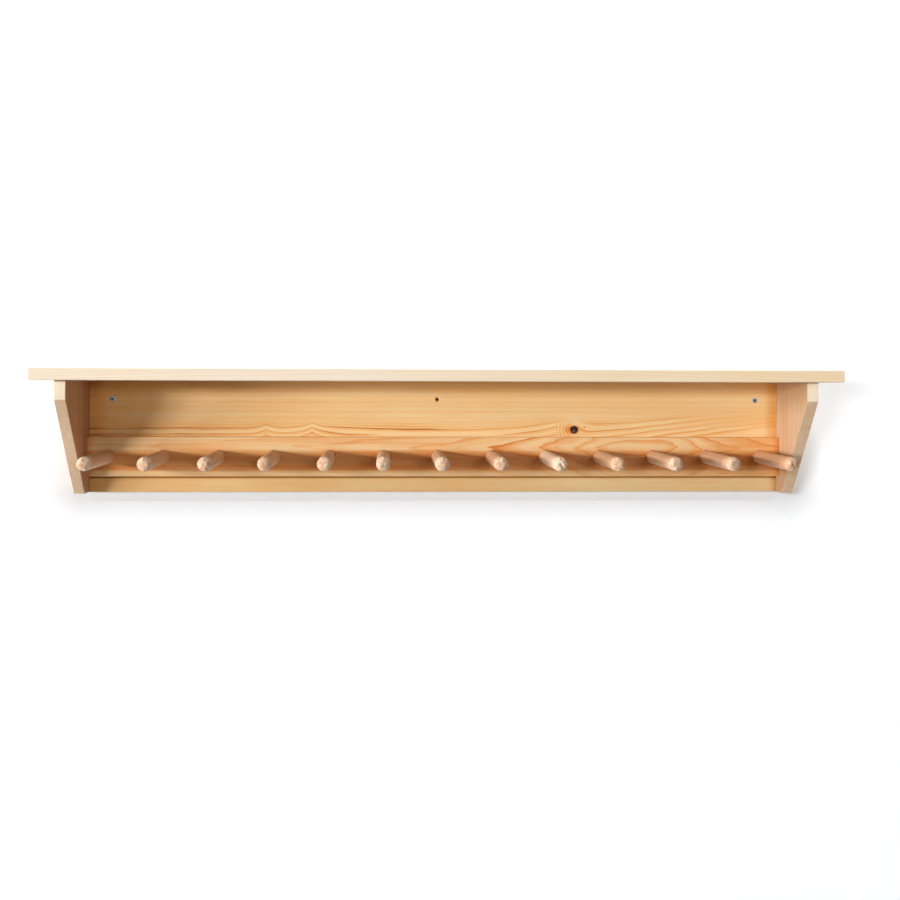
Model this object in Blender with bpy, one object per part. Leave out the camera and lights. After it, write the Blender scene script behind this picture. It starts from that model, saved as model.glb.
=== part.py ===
"""Wall-mounted boot rack: a pine shelf on two brackets, with a back board, a peg rail and round pegs.

Metres, +Z up. X runs along the rack, the wall is the plane Y = 0 and the room is at -Y.
The origin is the middle of the back board's wall face.
"""

import math

import bmesh
import bpy
from mathutils import Euler, Matrix, Vector

# Pegs, turned from round rod
PEG_COUNT = 13
PEG_PITCH = 0.090
PEG_DIAMETER = 0.022
PEG_REACH = 0.182  # from the rail's face to the peg's end
PEG_END_FLAT = 0.010  # diameter of the flat left in the middle of the rounded end
PEG_END_MARGIN = 0.034  # from the outermost peg's axis to the bracket beside it
PEG_HOLE_FLOOR = 0.006  # wood left behind the blind peg holes in the back board

# Boards
BACK_THICKNESS = 0.018
BACK_HEIGHT = 0.184
RAIL_THICKNESS = 0.018
RAIL_HEIGHT = 0.065
RAIL_DROP = 0.092  # from the back board's top edge to the rail's top edge
BRACKET_THICKNESS = 0.018
BRACKET_DEPTH = 0.180  # along its top edge, from the wall
BRACKET_NOSE = 0.030  # height of the upright front edge above the slope
BRACKET_FOOT = 0.050  # depth at the bottom, where the slope ends
SHELF_THICKNESS = 0.018
SHELF_END_OVERHANG = 0.031  # past the brackets' outer faces
SHELF_FRONT_OVERHANG = 0.031  # past the brackets' front edges
EDGE_EASE = 0.0012  # sanded arris along the edges that show

# Hidden dowels
DOWEL_DIAMETER = 0.008
DOWEL_CHAMFER = 0.001
DOWEL_IN_EDGE = 0.018  # length in the board whose edge is drilled
DOWEL_COVER = 0.006  # wood left over the dowel in the board whose face is drilled
BRACKET_DOWEL_COUNT = 2  # along the top edge of each bracket
BRACKET_DOWEL_INSET = 0.040
BACK_DOWEL_COUNT = 5  # along the top edge of the back board
BACK_DOWEL_INSET = 0.060
END_DOWEL_COUNT = 3  # up each end of the back board
END_DOWEL_INSET = 0.020

# Countersunk wall screws and their holes
SCREW_LENGTH = 0.050
SCREW_DIAMETER = 0.0045
SCREW_HEAD_DIAMETER = 0.009
SCREW_POINT = 0.006  # length of the tapered point
SCREW_POINT_DIAMETER = 0.0008
SCREW_INSET = 0.037  # from the screw's axis to the bracket beside it
SCREW_DROP = 0.030  # below the back board's top edge

# Glue lines and fits
JOINT_GAP = 0.0003
HOLE_CLEARANCE = 0.0003  # on the radius, and at the blind end

# Facets
PEG_SIDES = 24
PEG_END_STEPS = 4
DOWEL_SIDES = 12
SCREW_SIDES = 16
EASE_STEPS = 2

# Sizes that follow from the driving ones
CLEAR_WIDTH = (PEG_COUNT - 1) * PEG_PITCH + 2 * PEG_END_MARGIN
HALF_CLEAR = CLEAR_WIDTH / 2
HALF_BRACKETS = HALF_CLEAR + BRACKET_THICKNESS
HALF_SHELF = HALF_BRACKETS + SHELF_END_OVERHANG
SHELF_DEPTH = BRACKET_DEPTH + SHELF_FRONT_OVERHANG
BACK_TOP = BACK_HEIGHT / 2
BACK_BOTTOM = -BACK_HEIGHT / 2
SHELF_UNDERSIDE = BACK_TOP + JOINT_GAP
RAIL_TOP = BACK_TOP - RAIL_DROP
RAIL_BACK = -(BACK_THICKNESS + JOINT_GAP)
RAIL_FACE = RAIL_BACK - RAIL_THICKNESS
PEG_HEIGHT = RAIL_TOP - RAIL_HEIGHT / 2
FIXING_HEIGHT = BACK_TOP - SCREW_DROP
OVERSHOOT = 2 * EDGE_EASE  # how far a cutter stands out of the face it cuts, past any eased arris

# Turns that point a piece's own +Z at the room, to the left or to the right
TO_ROOM = Euler((math.pi / 2, 0, 0))
TO_LEFT = Euler((0, -math.pi / 2, 0))
TO_RIGHT = Euler((0, math.pi / 2, 0))
UPRIGHT = Euler((0, 0, 0))


def spread(low, high, count):
    """Evenly spaced places from low to high, both ends included."""
    if count == 1:
        return [(low + high) / 2]
    return [low + (high - low) * i / (count - 1) for i in range(count)]


def material(name, colour, roughness, metallic=0.0):
    """A Principled material of one colour."""
    made = bpy.data.materials.new(name)
    made.use_nodes = True
    shader = made.node_tree.nodes["Principled BSDF"]
    shader.inputs["Base Color"].default_value = (*colour, 1.0)
    shader.inputs["Roughness"].default_value = roughness
    shader.inputs["Metallic"].default_value = metallic
    made.diffuse_color = (*colour, 1.0)
    return made


def prism(outline, along, low, high, eased):
    """A straight board: an outline in the plane square to the axis `along`, from low to high on it.

    The outline's pairs are the two other coordinates, in X, Y, Z order. Edges whose middle passes
    the test `eased` get a sanded arris.
    """
    bm = bmesh.new()
    rings = []
    for level in (low, high):
        ring = []
        for pair in outline:
            corner = list(pair)
            corner.insert(along, level)
            ring.append(bm.verts.new(corner))
        rings.append(ring)
    first, last = rings
    bm.faces.new(first)
    bm.faces.new(last)
    for i, corner in enumerate(first):
        after = (i + 1) % len(first)
        bm.faces.new((corner, first[after], last[after], last[i]))
    bmesh.ops.recalc_face_normals(bm, faces=bm.faces)
    chosen = [e for e in bm.edges if eased((e.verts[0].co + e.verts[1].co) / 2)]
    bmesh.ops.bevel(bm, geom=chosen, offset=EDGE_EASE, segments=EASE_STEPS, profile=0.5, affect="EDGES")
    return bm


def add_turned(bm, profile, sides, place):
    """Add one turned solid: (radius, height) pairs from the bottom up, spun about +Z, then placed."""
    rings = []
    for radius, height in profile:
        ring = []
        for i in range(sides):
            angle = 2 * math.pi * i / sides
            point = Vector((radius * math.cos(angle), radius * math.sin(angle), height))
            ring.append(bm.verts.new(place @ point))
        rings.append(ring)
    bm.faces.new(rings[0][::-1])
    bm.faces.new(rings[-1])
    for lower, upper in zip(rings, rings[1:]):
        for i in range(sides):
            after = (i + 1) % sides
            bm.faces.new((lower[i], lower[after], upper[after], upper[i]))


def finished_mesh(bm, name):
    """Turn a bmesh into a mesh."""
    mesh = bpy.data.meshes.new(name)
    bm.to_mesh(mesh)
    bm.free()
    return mesh


def turned_mesh(name, profile, sides):
    """A turned piece's mesh, about its own +Z, shaded smooth between its sharp edges."""
    bm = bmesh.new()
    add_turned(bm, profile, sides, Matrix.Identity(4))
    mesh = finished_mesh(bm, name)
    mesh.shade_smooth()
    mesh.set_sharp_from_angle(angle=math.radians(35))
    return mesh


def add_piece(name, mesh, finish, place=None):
    """One sub-part: an object with its material, placed under the rack's empty."""
    piece = bpy.data.objects.new(name, mesh)
    bpy.context.collection.objects.link(piece)
    if not mesh.materials:
        mesh.materials.append(finish)
    if place is not None:
        piece.location, turn, _ = place.decompose()
        piece.rotation_euler = turn.to_euler()
    piece.parent = rack
    return piece


def add_cutter(name, profile, sides, places):
    """One cutter for a whole set of holes: the same turned shape at each place."""
    bm = bmesh.new()
    for place in places:
        add_turned(bm, profile, sides, place)
    cutter = bpy.data.objects.new(name, finished_mesh(bm, name))
    bpy.context.collection.objects.link(cutter)
    cutter.hide_render = True
    cutter.display_type = "WIRE"
    cutter.parent = rack
    return cutter


def drill(board, *cutters):
    """Cut sets of holes out of a board."""
    for cutter in cutters:
        cut = board.modifiers.new(cutter.name, "BOOLEAN")
        cut.operation = "DIFFERENCE"
        cut.solver = "EXACT"
        cut.object = cutter


def placed(x, y, z, turn):
    """A place for a turned piece: its origin and the turn of its axis."""
    return Matrix.LocRotScale(Vector((x, y, z)), turn, None)


def dowel_profile(low, high):
    """A plain dowel from low to high on its axis, with chamfered ends."""
    radius = DOWEL_DIAMETER / 2
    end = radius - DOWEL_CHAMFER
    return [(end, low), (radius, low + DOWEL_CHAMFER), (radius, high - DOWEL_CHAMFER), (end, high)]


def dowel_hole_profile(low, high):
    """The hole for a dowel from low to high, in both boards at once."""
    radius = DOWEL_DIAMETER / 2 + HOLE_CLEARANCE
    return [(radius, low - HOLE_CLEARANCE), (radius, high + HOLE_CLEARANCE)]


# Start from an empty scene
for old in list(bpy.data.objects):
    bpy.data.objects.remove(old)

rack = bpy.data.objects.new("boot_rack", None)
bpy.context.collection.objects.link(rack)

shelf_pine = material("shelf_pine", (0.80, 0.63, 0.42), 0.55)
bracket_pine = material("bracket_pine", (0.74, 0.55, 0.35), 0.55)
back_pine = material("back_pine", (0.74, 0.49, 0.25), 0.55)
rail_pine = material("rail_pine", (0.74, 0.45, 0.22), 0.55)
peg_wood = material("peg_wood", (0.66, 0.47, 0.34), 0.5)
dowel_wood = material("dowel_wood", (0.68, 0.50, 0.32), 0.6)
zinc = material("zinc", (0.62, 0.64, 0.66), 0.35, metallic=1.0)

# Where the turned pieces stand. Each place serves a piece and its hole.
peg_places = [
    placed(x, RAIL_FACE, PEG_HEIGHT, TO_ROOM)
    for x in spread(-HALF_CLEAR + PEG_END_MARGIN, HALF_CLEAR - PEG_END_MARGIN, PEG_COUNT)
]
fixing_places = [
    placed(x, -BACK_THICKNESS, FIXING_HEIGHT, TO_ROOM)
    for x in spread(-HALF_CLEAR + SCREW_INSET, HALF_CLEAR - SCREW_INSET, 3)
]
bracket_middle = HALF_CLEAR + BRACKET_THICKNESS / 2
bracket_dowel_places = {
    side: [
        placed(sign * bracket_middle, y, SHELF_UNDERSIDE, UPRIGHT)
        for y in spread(-BRACKET_DOWEL_INSET, -BRACKET_DEPTH + BRACKET_DOWEL_INSET, BRACKET_DOWEL_COUNT)
    ]
    for side, sign in (("left", -1), ("right", 1))
}
back_dowel_places = [
    placed(x, -BACK_THICKNESS / 2, SHELF_UNDERSIDE, UPRIGHT)
    for x in spread(-HALF_CLEAR + BACK_DOWEL_INSET, HALF_CLEAR - BACK_DOWEL_INSET, BACK_DOWEL_COUNT)
]
end_dowel_places = {
    side: [
        placed(sign * HALF_CLEAR, -BACK_THICKNESS / 2, z, turn)
        for z in spread(BACK_BOTTOM + END_DOWEL_INSET, BACK_TOP - END_DOWEL_INSET, END_DOWEL_COUNT)
    ]
    for side, sign, turn in (("left", -1, TO_LEFT), ("right", 1, TO_RIGHT))
}

# Pegs: a plain tenon through the rail into the back board, and a rounded end
peg_radius = PEG_DIAMETER / 2
peg_round = (PEG_DIAMETER - PEG_END_FLAT) / 2
peg_seat = -(RAIL_THICKNESS + JOINT_GAP + BACK_THICKNESS - PEG_HOLE_FLOOR - HOLE_CLEARANCE)
peg_profile = [(peg_radius, peg_seat)]
for step in range(PEG_END_STEPS + 1):
    bend = math.pi / 2 * step / PEG_END_STEPS
    peg_profile.append(
        (peg_radius - peg_round * (1 - math.cos(bend)), PEG_REACH - peg_round * (1 - math.sin(bend)))
    )
peg_mesh = turned_mesh("peg", peg_profile, PEG_SIDES)
for number, place in enumerate(peg_places, start=1):
    add_piece(f"peg_{number:02d}", peg_mesh, peg_wood, place)
peg_holes = add_cutter(
    "peg_holes",
    [(peg_radius + HOLE_CLEARANCE, peg_seat - HOLE_CLEARANCE), (peg_radius + HOLE_CLEARANCE, OVERSHOOT)],
    PEG_SIDES,
    peg_places,
)

# Dowels that hold the shelf down, upright in the brackets and in the back board
shelf_dowel_top = SHELF_THICKNESS - DOWEL_COVER
shelf_dowel_mesh = turned_mesh("shelf_dowel", dowel_profile(-DOWEL_IN_EDGE, shelf_dowel_top), DOWEL_SIDES)
shelf_dowel_places = list(back_dowel_places)
for side, places in bracket_dowel_places.items():
    shelf_dowel_places += places
    for number, place in enumerate(places, start=1):
        add_piece(f"shelf_dowel_{side}_{number}", shelf_dowel_mesh, dowel_wood, place)
for number, place in enumerate(back_dowel_places, start=1):
    add_piece(f"shelf_dowel_back_{number}", shelf_dowel_mesh, dowel_wood, place)
shelf_dowel_holes = add_cutter(
    "shelf_dowel_holes", dowel_hole_profile(-DOWEL_IN_EDGE, shelf_dowel_top), DOWEL_SIDES, shelf_dowel_places
)

# Dowels that hold the brackets to the back board's ends
end_dowel_tip = BRACKET_THICKNESS - DOWEL_COVER
end_dowel_mesh = turned_mesh("end_dowel", dowel_profile(-DOWEL_IN_EDGE, end_dowel_tip), DOWEL_SIDES)
for side, places in end_dowel_places.items():
    for number, place in enumerate(places, start=1):
        add_piece(f"end_dowel_{side}_{number}", end_dowel_mesh, dowel_wood, place)
end_dowel_holes = add_cutter(
    "end_dowel_holes",
    dowel_hole_profile(-DOWEL_IN_EDGE, end_dowel_tip),
    DOWEL_SIDES,
    end_dowel_places["left"] + end_dowel_places["right"],
)

# Wall screws: a countersunk head flush with the back board, a shank and a point. The middle hole is empty.
screw_radius = SCREW_DIAMETER / 2
head_radius = SCREW_HEAD_DIAMETER / 2
head_height = head_radius - screw_radius  # a 90 degree cone
screw_profile = [
    (SCREW_POINT_DIAMETER / 2, -SCREW_LENGTH),
    (screw_radius, -SCREW_LENGTH + SCREW_POINT),
    (screw_radius, -head_height),
    (head_radius, 0.0),
]
screw_mesh = turned_mesh("wall_screw", screw_profile, SCREW_SIDES)
for side, place in (("left", fixing_places[0]), ("right", fixing_places[-1])):
    add_piece(f"wall_screw_{side}", screw_mesh, zinc, place)
fixing_holes = add_cutter(
    "fixing_holes",
    [
        (screw_radius + HOLE_CLEARANCE, -BACK_THICKNESS - OVERSHOOT),
        (screw_radius + HOLE_CLEARANCE, -head_height),
        (head_radius + HOLE_CLEARANCE, 0.0),
        (head_radius + HOLE_CLEARANCE, OVERSHOOT),
    ],
    SCREW_SIDES,
    fixing_places,
)

# Back board, between the brackets, with only its lower front arris eased
back_half = HALF_CLEAR - JOINT_GAP
back_bm = prism(
    [(-back_half, BACK_BOTTOM), (back_half, BACK_BOTTOM), (back_half, BACK_TOP), (-back_half, BACK_TOP)],
    1,
    -BACK_THICKNESS,
    0.0,
    lambda middle: abs(middle.x) < HALF_CLEAR / 2 and middle.y < -BACK_THICKNESS / 2 and middle.z < 0,
)
back_board = add_piece("back_board", finished_mesh(back_bm, "back_board"), back_pine)
drill(back_board, peg_holes, shelf_dowel_holes, end_dowel_holes, fixing_holes)

# Peg rail, glued to the back board's face and pinned there by the pegs
rail_bottom = RAIL_TOP - RAIL_HEIGHT
rail_bm = prism(
    [(-back_half, rail_bottom), (back_half, rail_bottom), (back_half, RAIL_TOP), (-back_half, RAIL_TOP)],
    1,
    RAIL_FACE,
    RAIL_BACK,
    lambda middle: abs(middle.x) < HALF_CLEAR / 2 and middle.y < (RAIL_FACE + RAIL_BACK) / 2,
)
peg_rail = add_piece("peg_rail", finished_mesh(rail_bm, "peg_rail"), rail_pine)
drill(peg_rail, peg_holes)

# Brackets: an upright nose under the shelf, then a straight slope back to the foot
bracket_outline = [
    (0.0, BACK_BOTTOM),
    (-BRACKET_FOOT, BACK_BOTTOM),
    (-BRACKET_DEPTH, BACK_TOP - BRACKET_NOSE),
    (-BRACKET_DEPTH, BACK_TOP),
    (0.0, BACK_TOP),
]
for side, low, high in (("left", -HALF_BRACKETS, -HALF_CLEAR), ("right", HALF_CLEAR, HALF_BRACKETS)):
    bracket_bm = prism(
        bracket_outline,
        0,
        low,
        high,
        lambda middle: middle.y < -EDGE_EASE and middle.z < BACK_TOP - EDGE_EASE,
    )
    name = f"{side}_bracket"
    bracket = add_piece(name, finished_mesh(bracket_bm, name), bracket_pine)
    drill(bracket, shelf_dowel_holes, end_dowel_holes)

# Shelf, on top of the brackets and the back board, eased on every edge away from the wall
shelf_bm = prism(
    [(-HALF_SHELF, -SHELF_DEPTH), (HALF_SHELF, -SHELF_DEPTH), (HALF_SHELF, 0.0), (-HALF_SHELF, 0.0)],
    2,
    SHELF_UNDERSIDE,
    SHELF_UNDERSIDE + SHELF_THICKNESS,
    lambda middle: middle.y < -EDGE_EASE,
)
shelf_board = add_piece("shelf_board", finished_mesh(shelf_bm, "shelf_board"), shelf_pine)
drill(shelf_board, shelf_dowel_holes)
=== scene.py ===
"""Looks of a wall-hung pine boot rack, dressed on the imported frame.

Lengths are in metres. The wall's plane is Y = 0, and the room lies towards -Y.
"""
import math

import bpy
import numpy as np
from mathutils import Matrix, Vector


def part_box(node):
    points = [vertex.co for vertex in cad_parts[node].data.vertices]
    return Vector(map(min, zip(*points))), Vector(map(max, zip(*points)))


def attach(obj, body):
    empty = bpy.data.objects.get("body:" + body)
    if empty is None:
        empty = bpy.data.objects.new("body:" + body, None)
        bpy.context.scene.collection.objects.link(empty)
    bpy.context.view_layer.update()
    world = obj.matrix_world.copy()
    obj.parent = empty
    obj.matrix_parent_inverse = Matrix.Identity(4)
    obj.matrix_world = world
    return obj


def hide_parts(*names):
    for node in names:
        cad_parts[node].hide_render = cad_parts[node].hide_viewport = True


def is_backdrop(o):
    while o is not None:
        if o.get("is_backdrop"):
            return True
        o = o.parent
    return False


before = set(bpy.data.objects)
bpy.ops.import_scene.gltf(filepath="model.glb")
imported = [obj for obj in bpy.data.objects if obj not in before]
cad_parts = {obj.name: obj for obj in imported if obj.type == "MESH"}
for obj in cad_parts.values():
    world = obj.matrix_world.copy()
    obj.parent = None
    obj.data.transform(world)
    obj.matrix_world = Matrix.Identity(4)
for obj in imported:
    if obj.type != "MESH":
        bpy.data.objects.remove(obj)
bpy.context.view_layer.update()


# Back board: one planed pine board flat against the wall, with its grain along the rack and one dark
# knot. It is sanded and clear oiled. The frame's own board stays, with its peg sockets and fixing holes.
back_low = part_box("back_board")[0]
rail_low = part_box("peg_rail")[0]


class Wire:
    """A number in a node tree. Sums, products and functions of wires place Math nodes in that tree."""

    def __init__(self, tree, socket):
        self.tree = tree
        self.socket = socket

    def through(self, operation, *others):
        """The wire that leaves a Math node fed by this wire and the others."""
        node = self.tree.nodes.new("ShaderNodeMath")
        node.operation = operation
        for place, value in zip(node.inputs, (self, *others)):
            feed(self.tree, place, value)
        return Wire(self.tree, node.outputs[0])

    def __add__(self, other):
        return self.through("ADD", other)

    def __radd__(self, other):
        return self.through("ADD", other)

    def __sub__(self, other):
        return self.through("SUBTRACT", other)

    def __rsub__(self, other):
        return (self * -1.0).through("ADD", other)

    def __mul__(self, other):
        return self.through("MULTIPLY", other)

    def __truediv__(self, other):
        return self.through("DIVIDE", other)

    def __pow__(self, other):
        return self.through("POWER", other)

    def root(self):
        return self.through("SQRT")

    def size(self):
        return self.through("ABSOLUTE")

    def exponential(self):
        return self.through("EXPONENT")

    def whole(self):
        return self.through("FLOOR")

    def fraction(self):
        return self.through("FRACT")

    def least(self, other):
        return self.through("MINIMUM", other)

    def most(self, other):
        return self.through("MAXIMUM", other)

    def rise(self, start, end):
        """0 before start, 1 after end and a smooth step between. A start past the end gives a fall."""
        node = self.tree.nodes.new("ShaderNodeMapRange")
        node.interpolation_type = "SMOOTHSTEP"
        for name, value in (("Value", self), ("From Min", start), ("From Max", end)):
            feed(self.tree, node.inputs[name], value)
        return Wire(self.tree, node.outputs["Result"])


def feed(tree, place, value):
    """Joins a wire or socket to a node's input, or sets the input to a plain value."""
    if isinstance(value, Wire):
        tree.links.new(value.socket, place)
    elif isinstance(value, bpy.types.NodeSocket):
        tree.links.new(value, place)
    else:
        place.default_value = value


def chart(red, green, blue):
    """A linear colour from the 0 to 255 values of a colour chart."""
    shares = np.array([red, green, blue]) / 255.0
    linear = np.where(shares <= 0.04045, shares / 12.92, ((shares + 0.055) / 1.055) ** 2.4)
    return (*linear.tolist(), 1.0)


def mixed(tree, share, first, second):
    """Two colours mixed: a share of 0 gives the first and 1 the second."""
    node = tree.nodes.new("ShaderNodeMix")
    node.data_type = "RGBA"
    for index, value in ((0, share), (6, first), (7, second)):
        feed(tree, node.inputs[index], value)
    return node.outputs[2]


def brightened(tree, colour, value):
    """A colour with its brightness multiplied by a wire."""
    node = tree.nodes.new("ShaderNodeHueSaturation")
    feed(tree, node.inputs["Value"], value)
    feed(tree, node.inputs["Color"], colour)
    return node.outputs["Color"]


def speckle(tree, along, across, depth, detail=2.0):
    """Noise from -0.5 to 0.5 at three wires, each already scaled to the noise's own size."""
    place = tree.nodes.new("ShaderNodeCombineXYZ")
    for spot, value in zip(place.inputs, (along, across, depth)):
        feed(tree, spot, value)
    node = tree.nodes.new("ShaderNodeTexNoise")
    node.inputs["Scale"].default_value = 1.0
    node.inputs["Detail"].default_value = detail
    node.inputs["Roughness"].default_value = 0.5
    tree.links.new(place.outputs["Vector"], node.inputs["Vector"])
    return Wire(tree, node.outputs[0]) - 0.5


def new_group(name, takes, gives):
    """An empty shader node group. Returns its tree, a dict of the wires that enter it, and the node that
    takes what leaves it."""
    tree = bpy.data.node_groups.new(name, "ShaderNodeTree")
    for way, titles in (("INPUT", takes), ("OUTPUT", gives)):
        for title in titles:
            kind = "NodeSocketColor" if title.endswith("Colour") else "NodeSocketFloat"
            tree.interface.new_socket(title, in_out=way, socket_type=kind)
    entry = tree.nodes.new("NodeGroupInput")
    given = {title: Wire(tree, entry.outputs[title]) for title in takes}
    return tree, given, tree.nodes.new("NodeGroupOutput")


def placed_group(tree, group, **values):
    """Puts a group into a material. Underscores in the value names stand for spaces. Returns its
    outputs."""
    node = tree.nodes.new("ShaderNodeGroup")
    node.node_tree = group
    for name, value in values.items():
        feed(tree, node.inputs[name.replace("_", " ")], value)
    return node.outputs


# Grain parts round a knot as water parts round a post: the distance across the grain shrinks to nothing
# at the knot's middle, so the growth lines that follow it are pushed aside. Stain is the dark core with
# an orange flare to its left, and a lighter eye in it.
ALONG_SHARE, KNOT_PUSH = 0.5, 3.5
RAGGED_FINE, RAGGED_SHARE = 320.0, 0.6
FLARE_STAIN, CORE_STAIN, EYE_STAIN = 0.46, 0.74, 0.42
knot_group, given, leaving = new_group(
    "grain_round_knot", ["Along", "Across", "Knot Along", "Knot Across", "Knot Radius"], ["Across", "Stain"]
)
radius = given["Knot Radius"]
off_along = given["Along"] - given["Knot Along"]
off_across = given["Across"] - given["Knot Across"]
radius_square = radius ** 2.0
spread_square = (off_along * ALONG_SHARE) ** 2.0 + off_across ** 2.0
bent = given["Knot Across"] + off_across * spread_square / (spread_square + radius_square * KNOT_PUSH)
ragged = speckle(knot_group, off_along * RAGGED_FINE, off_across * RAGGED_FINE, given["Knot Along"] * 50.0)
ragged = ragged * RAGGED_SHARE
core = ((off_along ** 2.0 + off_across ** 2.0).root() / radius + ragged).rise(1.15, 0.9)
flare = (((off_along + radius * 0.7) * 0.7) ** 2.0 + (off_across * 1.2) ** 2.0) / radius_square
off_eye = (off_along + radius * 0.1) ** 2.0 + (off_across + radius * 0.3) ** 2.0
eye = (off_eye.root() / radius + ragged).rise(0.55, 0.2)
stain = (flare * -0.5).exponential() * FLARE_STAIN + core * CORE_STAIN - eye * EYE_STAIN
feed(knot_group, leaving.inputs["Across"], bent)
feed(knot_group, leaving.inputs["Stain"], stain)

# Growth rings: each ring starts pale, turns orange, ends in a thin dark line of latewood and breaks off
# sharply. Ring widths wander by the given share, and every ring has a strength of its own.
WEAKEST_RING, ORANGE_SHARE = 0.35, 0.45
ring_group, given, leaving = new_group(
    "growth_rings", ["Distance", "Ring Width", "Wander", "Seed"], ["Late"]
)
uneven = given["Distance"] / given["Ring Width"]
uneven = uneven + speckle(ring_group, uneven * 0.45, given["Seed"], 0.0) * given["Wander"]
ring = uneven.fraction()
dice = ring_group.nodes.new("ShaderNodeTexWhiteNoise")
dice.noise_dimensions = "1D"
feed(ring_group, dice.inputs["W"], uneven.whole() + given["Seed"] * 7.0)
strength = Wire(ring_group, dice.outputs["Value"]) * (1.0 - WEAKEST_RING) + WEAKEST_RING
profile = ring.rise(0.35, 0.88) * ORANGE_SHARE + ring.rise(0.76, 0.93) * (1.0 - ORANGE_SHARE)
feed(ring_group, leaving.inputs["Late"], profile * ring.rise(1.0, 0.95) * strength)

# Oiled softwood: pale early wood, a middle tone and brown latewood, broken up by fine fibres, streaks
# along the grain and broad clouds of colour. Resin canals are short dark dashes, thirsty wood takes more
# oil and darkens, handled arrises are rubbed pale, and knots run from amber to black. In some woods the
# latewood input and the one for thirsty wood also carry painted shade, which darkens the same way.
MIDDLE_SHARE, SHADE_AND_THIRST_DARKEN = 0.4, 0.22
AMBER, KNOT_BROWN, KNOT_BLACK = chart(214, 124, 48), chart(118, 62, 32), chart(32, 13, 7)
wood_group, given, leaving = new_group(
    "oiled_softwood",
    [
        "Along", "Across", "Depth", "Late", "Stain", "Thirst", "Arris", "Fibre",
        "Early Colour", "Middle Colour", "Late Colour",
    ],
    ["Colour", "Roughness", "Height"],
)
along, across, depth = given["Along"], given["Across"], given["Depth"]
fine = speckle(wood_group, along * 13.0, across * 850.0, depth * 850.0)
streak = speckle(wood_group, along * 2.4, across * 120.0, depth * 120.0, detail=3.0)
cloud = speckle(wood_group, along * 3.0, across * 11.0, depth * 11.0)
canal = speckle(wood_group, along * 70.0, across * 1400.0, depth * 1400.0, detail=0.0).rise(0.2, 0.3)
share = (given["Late"] + given["Fibre"] * (streak * 0.5 + cloud * 0.45)).most(0.0).least(1.0)
tone = mixed(wood_group, (share / MIDDLE_SHARE).least(1.0), given["Early Colour"], given["Middle Colour"])
tone = mixed(wood_group, share.rise(MIDDLE_SHARE, 1.0), tone, given["Late Colour"])
shade = 1.0 + given["Fibre"] * (fine * 0.2 + streak * 0.12 - canal * 0.06)
# Thirsty wood, and the painted shade that comes in with it, darkens the tone.
tone = brightened(wood_group, tone, shade * (1.0 - given["Thirst"] * SHADE_AND_THIRST_DARKEN))
rubbed = given["Arris"] * (0.3 + streak * 0.9 + cloud * 0.8).most(0.0)
tone = mixed(wood_group, rubbed, tone, given["Early Colour"])
for start, end, colour in ((0.02, 0.45, AMBER), (0.4, 0.72, KNOT_BROWN), (0.66, 1.0, KNOT_BLACK)):
    tone = mixed(wood_group, given["Stain"].rise(start, end), tone, colour)
roughness = 0.52 + fine * 0.16 - given["Late"] * 0.08 + given["Thirst"] * 0.12 - rubbed * 0.15
feed(wood_group, leaving.inputs["Colour"], tone)
feed(wood_group, leaving.inputs["Roughness"], roughness)
feed(wood_group, leaving.inputs["Height"], given["Late"] * 0.5 + fine * 0.8 + streak * 0.4)


def new_material(name):
    """An empty material, with its node tree and its shader."""
    material = bpy.data.materials.new(name)
    material.use_nodes = True
    return material, material.node_tree, material.node_tree.nodes["Principled BSDF"]


def object_place(tree):
    """The socket with Object coordinates."""
    return tree.nodes.new("ShaderNodeTexCoord").outputs["Object"]


def attribute(tree, name, output):
    """The socket with what a mesh keeps under a name: Fac is a number, Vector a place."""
    reader = tree.nodes.new("ShaderNodeAttribute")
    reader.attribute_name = name
    return reader.outputs[output]


def taken_apart(tree, vector):
    """The x, y and z wires of a place or a direction."""
    parts = tree.nodes.new("ShaderNodeSeparateXYZ")
    tree.links.new(vector, parts.inputs["Vector"])
    return [Wire(tree, socket) for socket in parts.outputs]


def raise_surface(tree, shader, height, strength, distance):
    """Gives a shader bump from a height."""
    bump = tree.nodes.new("ShaderNodeBump")
    bump.inputs["Strength"].default_value = strength
    bump.inputs["Distance"].default_value = distance
    feed(tree, bump.inputs["Height"], height)
    tree.links.new(bump.outputs["Normal"], shader.inputs["Normal"])


def wood_material(name, grain, tones, fibre, own_place=None):
    """An oiled wood. grain(tree, x, y, z) gives wires: along, across and depth in the wood, latewood,
    stain, and how thirsty for oil the wood is; for some woods the latewood and thirstiness also carry
    painted shade. tones are its early, middle and late colours, and fibre is how strongly it is broken up.
    own_place is an attribute with the wood's own coordinates. Without it the material reads Object
    coordinates."""
    material, tree, shader = new_material(name)
    spot = attribute(tree, own_place, "Vector") if own_place else object_place(tree)
    along, across, depth, late, stain, thirst_and_shade = grain(tree, *taken_apart(tree, spot))
    wood = placed_group(
        tree, wood_group, Along=along, Across=across, Depth=depth, Late=late, Stain=stain, Thirst=thirst_and_shade,
        Arris=attribute(tree, "arris", "Fac"), Fibre=fibre,
        Early_Colour=tones[0], Middle_Colour=tones[1], Late_Colour=tones[2],
    )
    feed(tree, shader.inputs["Base Color"], wood["Colour"])
    feed(tree, shader.inputs["Roughness"], wood["Roughness"])
    raise_surface(tree, shader, wood["Height"], strength=0.25, distance=0.0004)
    shader.inputs["Specular IOR Level"].default_value = 0.2
    return material


def facing(tree, axis):
    """How squarely the surface faces along an axis, 0 to 1. Along the grain this is end grain."""
    normal = tree.nodes.new("ShaderNodeNewGeometry").outputs["Normal"]
    return taken_apart(tree, normal)[axis].size()


def rings(tree, distance, width, seed, wander=1.6):
    """The latewood wire at a distance from the tree's pith."""
    sockets = placed_group(tree, ring_group, Distance=distance, Ring_Width=width, Wander=wander, Seed=seed)
    return Wire(tree, sockets["Late"])


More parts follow.
